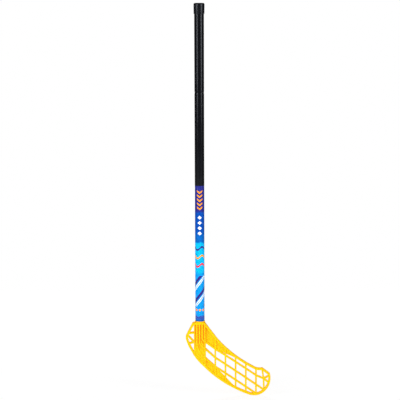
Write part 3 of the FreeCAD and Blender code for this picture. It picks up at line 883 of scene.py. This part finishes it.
@dataclass
class EndCap:
    """Rubber cap over the top of the tube and its sleeve."""

    top_radius: float = 12.8 * MM
    rim_radius: float = 12.45 * MM
    edge: float = 4.2 * MM
    edge_steps: int = 10
    lip: float = 0.6 * MM
    lip_steps: int = 4
    skirt_radius: float = 11.38 * MM
    stem_radius: float = 9.07 * MM
    stem_wall: float = 1.6 * MM
    stem_length: float = 14.0 * MM

    def build(self, tree: NodeTree) -> None:
        """Make and dress the cap.

        Args:
            tree: Tree of turning_tree.
        """
        low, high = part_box("end_cap")
        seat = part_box("shaft_tube")[1].z
        top, rim = (self.top_radius, high.z), (self.rim_radius, low.z)
        skirt = (self.skirt_radius, low.z)
        hole, stem_end = self.stem_radius - self.stem_wall, seat - self.stem_length
        profile = [(0.0, high.z)]
        profile += rounded(top, (0.0, high.z), rim, self.edge, self.edge_steps)
        profile += rounded(rim, top, skirt, self.lip, self.lip_steps)
        profile += [skirt, (self.skirt_radius, seat), (self.stem_radius, seat),
                    (self.stem_radius, stem_end), (hole, stem_end), (hole, seat), (0.0, seat)]
        cap = turn("rubber_cap", profile, False, tree, MouldedRubber().material())
        place(cap, "end_cap")


@dataclass
class Blade:
    """Lattice blade with its hosel, moulded in one piece, with every edge and inner corner softened."""

    weld: float = 0.01 * MM
    voxel: float = 0.42 * MM
    passes: int = 9
    strength: float = 0.5
    fullness: float = 0.28 * MM
    breadth: float = 0.25 * MM
    # Hollows get painted orange shade: smoothing passes that find them, depth for full shade, and share
    # outside the flutes
    hollow_passes: int = 60
    hollow_depth: float = 0.09 * MM
    corner_shade: float = 0.06
    flute_half_width: float = 12.9 * MM
    flute_side: float = 2.0 * MM
    flute_fade: float = 26.0 * MM
    collar: float = 4.0 * MM
    collar_fade: float = 1.0 * MM
    triangles: int = 185_000
    crease: float = 60.0

    def rows(self, items: Any, key: str) -> np.ndarray:
        """Read a vector of each item of a mesh.

        Args:
            items: Points or normals of the mesh.
            key: Name of the vector.

        Returns:
            One row of X, Y and Z for each item.
        """
        flat = np.empty(len(items) * 3, dtype=np.float32)
        items.foreach_get(key, flat)
        return flat.reshape(-1, 3)

    def backing(self, points: np.ndarray) -> np.ndarray:
        """Tell how far the tube backs each point.

        Args:
            points: One row of X, Y and Z for each point.

        Returns:
            1 in front of the tube, fading to 0 beside it and below its end.
        """
        x, _, z = points.T
        below = (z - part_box("shaft_tube")[0].z) / self.flute_fade + 1
        beside = (self.flute_half_width - np.abs(x)) / self.flute_side + 1
        return np.clip(below, 0, 1) * np.clip(beside, 0, 1)

    def broaden(self, mesh: Mesh) -> None:
        """Broaden the ribs and the rim in the plane of the blade, away from the flutes and the bore.

        Args:
            mesh: Even mesh of the blade.
        """
        points = self.rows(mesh.vertices, "co")
        share = self.breadth * (1 - self.backing(points))
        points += self.rows(mesh.vertex_normals, "vector") * (1.0, 0.0, 1.0) * share[:, None]
        mesh.vertices.foreach_set("co", points.ravel())
        mesh.update()

    def paint_hollow_shade(self, blade: Object) -> None:
        """Store the share of painted orange shade at each point for the finish, as the attribute "warmth".

        A point gets painted shade where evening out the skin would lift it, so in inner corners and
        grooves.
        It gets the most in the hosel's flutes below the collar, where a thin wall lies over the dark tube.

        Args:
            blade: Blade with an even mesh and no modifier.
        """
        mesh = blade.data
        even = blade.modifiers.new("even_out", "SMOOTH")
        even.factor = self.strength
        even.iterations = self.hollow_passes
        smooth = blade.evaluated_get(bpy.context.evaluated_depsgraph_get()).data
        here = self.rows(mesh.vertices, "co")
        rise = self.rows(smooth.vertices, "co") - here
        lift = (rise * self.rows(mesh.vertex_normals, "vector")).sum(axis=1)
        blade.modifiers.clear()
        under = (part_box("blade")[1].z - self.collar - here[:, 2]) / self.collar_fade
        flute = self.backing(here) * np.clip(under, 0, 1)
        painted_shade = np.clip(lift / self.hollow_depth, 0, 1)
        painted_shade *= self.corner_shade + (1 - self.corner_shade) * flute
        stored = mesh.attributes.new("painted_shade", "FLOAT", "POINT")
        stored.data.foreach_set("value", painted_shade.astype(np.float32))

    def build(self) -> None:
        """Make and dress the blade."""
        name = "moulded_blade"
        work = bmesh.new()
        work.from_mesh(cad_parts["blade"].data)
        bmesh.ops.remove_doubles(work, verts=work.verts, dist=self.weld)
        mesh = bpy.data.meshes.new(name)
        work.to_mesh(mesh)
        work.free()
        blade = stand(name, mesh)
        skin = blade.modifiers.new("skin", "REMESH")
        skin.mode = "VOXEL"
        skin.voxel_size = self.voxel
        soft = blade.modifiers.new("soft_edges", "SMOOTH")
        soft.factor = self.strength
        soft.iterations = self.passes
        # Softening draws the thin ribs in, so the skin is pushed out again
        full = blade.modifiers.new("full_ribs", "DISPLACE")
        full.mid_level = 0.0
        full.strength = self.fullness
        settle(blade)
        self.broaden(blade.data)
        self.paint_hollow_shade(blade)
        thin = blade.modifiers.new("thin_out", "DECIMATE")
        thin.ratio = min(1.0, self.triangles / (2 * len(blade.data.polygons)))
        settle(blade)
        blade.data.materials.clear()
        blade.data.materials.append(MouldedPolypropylene().material())
        shade(blade, self.crease)
        place(blade, "blade")


@dataclass
class BladeScrews:
    """Two pan-head screws with a cross recess at the back of the hosel."""

    count: int = 2
    segments: int = 40
    head_radius: float = 3.0 * MM
    head_height: float = 2.2 * MM
    head_rim: float = 0.42
    dome_steps: int = 8
    dome_fullness: float = 0.8
    shank_radius: float = 1.5 * MM
    recess_length: float = 3.6 * MM
    recess_width: float = 0.9 * MM
    recess_depth: float = 1.3 * MM
    recess_taper: float = 0.35

    def recess(self) -> Mesh:
        """Make the tapered cross that is cut out of a head.

        Returns:
            Closed mesh of the cross.
        """
        arm, half = self.recess_length / 2, self.recess_width / 2
        quarter = [(arm, -half), (arm, half), (half, half)]
        corners = []
        for _ in range(4):
            corners += quarter
            quarter = [(-z, x) for x, z in quarter]
        work = bmesh.new()
        rings = []
        for way in (-1, 1):
            share = 1 + way * self.recess_taper
            height = self.head_height + way * self.recess_depth
            rings.append([work.verts.new((x * share, height, z * share)) for x, z in corners])
            work.faces.new(rings[-1])
        for i in range(len(corners)):
            work.faces.new((rings[0][i - 1], rings[0][i], rings[1][i], rings[1][i - 1]))
        bmesh.ops.recalc_face_normals(work, faces=work.faces)
        mesh = bpy.data.meshes.new("recess")
        work.to_mesh(mesh)
        work.free()
        return mesh

    def profile(self) -> Profile:
        """Profile of a screw from the top of its head to the end of its shank.

        Returns:
            Radius of each corner, and its height above the seat.
        """
        low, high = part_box("blade_screws")
        shank = high.y - low.y - self.head_height
        corners = [(0.0, self.head_height)]
        for i in range(1, self.dome_steps + 1):
            angle = math.pi / 2 * i / self.dome_steps
            share = self.head_rim + (1 - self.head_rim) * math.cos(angle)
            corners.append((self.head_radius * math.sin(angle) ** self.dome_fullness,
                            self.head_height * share))
        return corners + [(self.head_radius, 0.0), (self.shank_radius, 0.0),
                          (self.shank_radius, -shank), (0.0, -shank)]

    def screw(self) -> Mesh:
        """Make one screw at the origin, head along +Y and seat at zero.

        Returns:
            Mesh of the screw with its recess cut.
        """
        work = bmesh.new()
        line = [work.verts.new((radius, height, 0.0)) for radius, height in self.profile()]
        edges = [work.edges.new(pair) for pair in zip(line[:-1], line[1:])]
        bmesh.ops.spin(work, geom=line + edges, axis=(0, 1, 0), cent=(0, 0, 0), steps=self.segments,
                       angle=2 * math.pi)
        bmesh.ops.remove_doubles(work, verts=work.verts, dist=WELD)
        bmesh.ops.recalc_face_normals(work, faces=work.faces)
        mesh = bpy.data.meshes.new("blank")
        work.to_mesh(mesh)
        work.free()
        blank, cross = stand("blank", mesh), stand("recess", self.recess())
        cut = blank.modifiers.new("recess", "BOOLEAN")
        cut.operation = "DIFFERENCE"
        cut.solver = "EXACT"
        cut.object = cross
        done = settle(blank).data
        bpy.data.objects.remove(blank)
        bpy.data.objects.remove(cross)
        return done

    def build(self, tree: NodeTree) -> None:
        """Make and dress the row of screws.

        Args:
            tree: Tree of row_tree.
        """
        low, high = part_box("blade_screws")
        first = Vector((0.0, high.y - self.head_height, high.z - self.head_radius))
        span = high.z - low.z - 2 * self.head_radius
        pitch = Vector((0.0, 0.0, -span / (self.count - 1)))
        zinc = ZincPlate().material()
        screws = grow(stand("zinc_screws", self.screw()), tree,
                      {"Count": self.count, "First": first, "Pitch": pitch, "Material": zinc})
        shade(screws, CREASE)
        place(screws, "blade_screws")


@dataclass(frozen=True)
class Softbox:
    """Rectangular lamp that faces the stick.

    Its azimuth is in degrees from the camera's side, positive to the right, and its power in watts.
    Glossy surfaces show it only if it is mirrored.
    """

    name: str
    azimuth: float
    height: float
    size: Point
    power: float
    mirrored: bool
    reach: float = 1.9
    target_height: float = -0.4

    def hang(self) -> None:
        """Put the lamp in the scene."""
        data = bpy.data.lights.new(self.name, "AREA")
        data.shape = "RECTANGLE"
        data.size, data.size_y = self.size
        data.energy = self.power
        lamp = stand(self.name, data)
        angle = math.radians(self.azimuth)
        lamp.location = (self.reach * math.sin(angle), -self.reach * math.cos(angle), self.height)
        target = Vector((0.0, 0.0, self.target_height))
        lamp.rotation_euler = (target - lamp.location).to_track_quat("-Z", "Y").to_euler()
        lamp.visible_camera = False
        lamp.visible_glossy = self.mirrored


@dataclass
class Studio:
    """Camera, softboxes, pale floor and white surroundings."""

    distance: float = 4.0
    elevation: float = 7.0
    focal_mm: float = 154.35
    sensor_mm: float = 36.0
    sight: float = 50.0
    roll: float = 0.176
    aim: tuple[float, float, float] = (0.93 * MM, 0.0, -341.15 * MM)
    lamps: tuple[Softbox, ...] = (
        Softbox("key_softbox", -49.0, 0.45, (0.54, 1.6), 20.2, True),
        Softbox("fill_softbox", 53.0, 0.45, (0.40, 1.6), 19.5, True),
        Softbox("front_softbox", -8.0, -0.4, (1.6, 1.0), 25.0, False),
        Softbox("back_softbox", 180.0, 0.6, (1.2, 0.8), 44.0, False))
    floor_half: float = 1.4
    floor_gap: float = 0.1 * MM
    paper: str = "#FAFAFA"
    paper_glow: float = 1.01
    shadow_reach: Span = (0.2, 0.55)
    shadow_white: float = 0.88
    ambient: float = 0.06
    sweep_edge: Span = (0.9985, 0.9999)

    def camera(self) -> None:
        """Set the camera at the photograph's viewing angle."""
        data = bpy.data.cameras.new("camera")
        data.lens = self.focal_mm
        data.sensor_width = self.sensor_mm
        data.clip_end = self.sight
        camera = stand("camera", data)
        tilt = math.radians(self.elevation)
        offset = Vector((0.0, -math.cos(tilt), math.sin(tilt))) * self.distance
        pitched = Matrix.Rotation(math.radians(90) - tilt, 4, "X")
        rolled = Matrix.Rotation(math.radians(-self.roll), 4, "Z")
        camera.matrix_world = Matrix.Translation(Vector(self.aim) + offset) @ pitched @ rolled
        bpy.context.scene.camera = camera

    def floor(self) -> None:
        """Lay a white floor under the sole that keeps a soft shadow and fades into the sweep."""
        half, level = self.floor_half, CAD_BOX[0].z - self.floor_gap
        corners = [(x * half, y * half, level) for x, y in ((-1, -1), (1, -1), (1, 1), (-1, 1))]
        mesh = bpy.data.meshes.new("floor")
        mesh.from_pydata(corners, [], [(0, 1, 2, 3)])
        floor = stand("floor", mesh)
        # Matt white paper that shows a soft shadow at the sole and glows to plain white further off
        material, tree, point = blank_material("white_paper_sweep")
        path = add(tree, "ShaderNodeLightPath").outputs
        seen = add(tree, "ShaderNodeMath", {0: path["Is Camera Ray"], 1: path["Is Glossy Ray"]},
                   operation="MAXIMUM")
        seen = add(tree, "ShaderNodeMath", {0: seen, 1: path["Is Transmission Ray"]}, operation="MAXIMUM")
        flat = add(tree, "ShaderNodeMapping", {"Vector": point, "Scale": (1.0, 1.0, 0.0)})
        away = add(tree, "ShaderNodeVectorMath", {0: flat}, operation="LENGTH").outputs["Value"]
        fade = add(tree, "ShaderNodeMapRange", {
            "Value": away, "From Min": self.shadow_reach[0], "From Max": self.shadow_reach[1],
            "To Min": self.shadow_white, "To Max": 1.0})
        part = add(tree, "ShaderNodeMath", {0: seen, 1: fade}, operation="MULTIPLY")
        paper = add(tree, "ShaderNodeBsdfDiffuse", {"Color": linear(self.paper)})
        glow = add(tree, "ShaderNodeEmission", {"Strength": self.paper_glow})
        mix = add(tree, "ShaderNodeMixShader", {0: part, 1: paper, 2: glow})
        add(tree, "ShaderNodeOutputMaterial", {"Surface": mix})
        material.cycles.emission_sampling = "NONE"
        floor.data.materials.append(material)

    def world(self) -> None:
        """Surround the stick with a dim room and a white sweep behind it, all white to the camera."""
        world = bpy.data.worlds.new("surroundings")
        bpy.context.scene.world = world
        world.use_nodes = True
        world.cycles.sampling_method = "NONE"
        tree = world.node_tree
        tree.nodes.clear()
        point = add(tree, "ShaderNodeTexCoord").outputs["Generated"]
        way = add(tree, "ShaderNodeSeparateXYZ", {0: point}).outputs["Y"]
        sweep = add(tree, "ShaderNodeMapRange",
                    {"Value": way, "From Min": self.sweep_edge[0], "From Max": self.sweep_edge[1]})
        path = add(tree, "ShaderNodeLightPath").outputs
        shine = add(tree, "ShaderNodeMath", {0: path["Is Glossy Ray"], 1: path["Is Transmission Ray"]},
                    operation="MAXIMUM")
        mirrored = add(tree, "ShaderNodeMath", {0: shine, 1: sweep}, operation="MULTIPLY")
        white = add(tree, "ShaderNodeMath", {0: mirrored, 1: path["Is Camera Ray"]}, operation="MAXIMUM")
        level = add(tree, "ShaderNodeMath", {0: white, 1: self.ambient}, operation="MAXIMUM")
        glow = add(tree, "ShaderNodeBackground", {"Color": (1.0, 1.0, 1.0, 1.0), "Strength": level})
        add(tree, "ShaderNodeOutputWorld", {"Surface": glow})

    def build(self) -> None:
        """Set up the whole studio."""
        self.camera()
        for lamp in self.lamps:
            lamp.hang()
        self.floor()
        self.world()
        bpy.context.scene.view_settings.view_transform = "Standard"
        LOG.info("studio is set up")


def main() -> None:
    """Build every sub-assembly in order."""
    logging.basicConfig(level=logging.INFO)
    turning = turning_tree()
    Studio().build()
    Shaft().build(turning)
    EndCap().build(turning)
    Blade().build()
    BladeScrews().build(row_tree())


if __name__ == "__main__":
    main()
